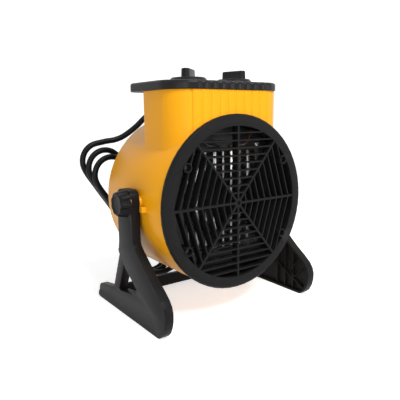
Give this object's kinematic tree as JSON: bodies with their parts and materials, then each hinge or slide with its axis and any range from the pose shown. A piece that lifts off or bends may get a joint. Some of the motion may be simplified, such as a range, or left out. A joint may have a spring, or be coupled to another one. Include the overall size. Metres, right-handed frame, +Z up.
{
  "type": "ceramic fan heater",
  "caption": "Round portable ceramic fan heater: barrel head with grille and rotary controls, tilting on clamp knobs between two A-shaped legs, with its power cord.",
  "frame": {"origin": "floor level, middle of the stand's footprint", "axes": "+Z up, +Y from the outlet towards the rear, +X to the right as seen from the front"},
  "size_m": [0.2516, 0.2181, 0.2816],
  "materials": {
    "yellow_shell": "semi-gloss yellow",
    "black_plastic": "satin black",
    "cord_rubber": "smooth black",
    "aluminium": "bare",
    "steel": "zinc plated",
    "dark_steel": "black coated",
    "brass": "bare",
    "frame_plastic": "heat-resistant black",
    "switch_plastic": "ivory",
    "fan_plastic": "grey",
    "wire_brown": "brown insulation",
    "wire_blue": "blue insulation"
  },
  "bodies": {
    "stand": {"stand_leg_left": "black_plastic", "stand_leg_right": "black_plastic", "stand_crossbar": "black_plastic", "cord_lead": "cord_rubber", "cord_hank": "cord_rubber", "cord_tie": "cord_rubber", "cord_tail": "cord_rubber", "plug_body": "cord_rubber", "plug_pin_1": "brass", "plug_pin_2": "brass"},
    "head": {"main_housing": "yellow_shell", "front_grille": "black_plastic", "grille_screw_1": "steel", "grille_screw_2": "steel", "grille_screw_3": "steel", "grille_screw_4": "steel", "rear_cover": "black_plastic", "cover_screw_1": "steel", "cover_screw_2": "steel", "cover_screw_3": "steel", "top_lid": "black_plastic", "thermostat_body": "switch_plastic", "selector_body": "switch_plastic", "terminal_block": "switch_plastic", "heater_frame": "frame_plastic", "core_screw_left": "steel", "core_screw_right": "steel", "ceramic_bar_1": "aluminium", "ceramic_bar_2": "aluminium", "ceramic_bar_3": "aluminium", "ceramic_bar_4": "aluminium", "fin_row_1": "aluminium", "fin_row_2": "aluminium", "fin_row_3": "aluminium", "fin_row_4": "aluminium", "fin_row_5": "aluminium", "fin_row_6": "aluminium", "fin_row_7": "aluminium", "fin_row_8": "aluminium", "heat_shield": "dark_steel", "thermal_cutout": "steel", "motor_bracket": "dark_steel", "motor_body": "dark_steel", "wire_neutral": "wire_blue", "wire_live": "wire_brown", "pivot_insert_left": "brass", "pivot_insert_right": "brass", "cord_gland": "cord_rubber"},
    "thermostat": {"thermostat_knob": "black_plastic", "thermostat_spindle": "steel"},
    "selector": {"selector_knob": "black_plastic", "selector_spindle": "steel"},
    "fan": {"fan_impeller": "fan_plastic", "motor_shaft": "steel"},
    "clamp_left": {"clamp_knob_left": "black_plastic", "clamp_bolt_left": "steel", "clamp_washer_left": "steel"},
    "clamp_right": {"clamp_knob_right": "black_plastic", "clamp_bolt_right": "steel", "clamp_washer_right": "steel"}
  },
  "joints": [
    {"name": "tilt", "type": "hinge", "parent": "stand", "child": "head", "pos_m": [0, -0.0131, 0.136], "axis": [-1, 0, 0], "range_deg": [-20, 30], "deforming": ["cord_lead"]},
    {"name": "thermostat_turn", "type": "hinge", "parent": "head", "child": "thermostat", "pos_m": [-0.033, -0.0186, 0.267], "axis": [0, 0, -1], "range_deg": [0, 270]},
    {"name": "selector_turn", "type": "hinge", "parent": "head", "child": "selector", "pos_m": [0.033, -0.0186, 0.267], "axis": [0, 0, -1], "range_deg": [0, 270]},
    {"name": "fan_spin", "type": "hinge", "parent": "head", "child": "fan", "pos_m": [0, -0.0066, 0.131], "axis": [0, 1, 0], "continuous": true},
    {"name": "clamp_left_turn", "type": "hinge", "parent": "head", "child": "clamp_left", "pos_m": [-0.12, -0.0131, 0.136], "axis": [-1, 0, 0], "continuous": true},
    {"name": "clamp_right_turn", "type": "hinge", "parent": "head", "child": "clamp_right", "pos_m": [0.12, -0.0131, 0.136], "axis": [1, 0, 0], "continuous": true}
  ]
}
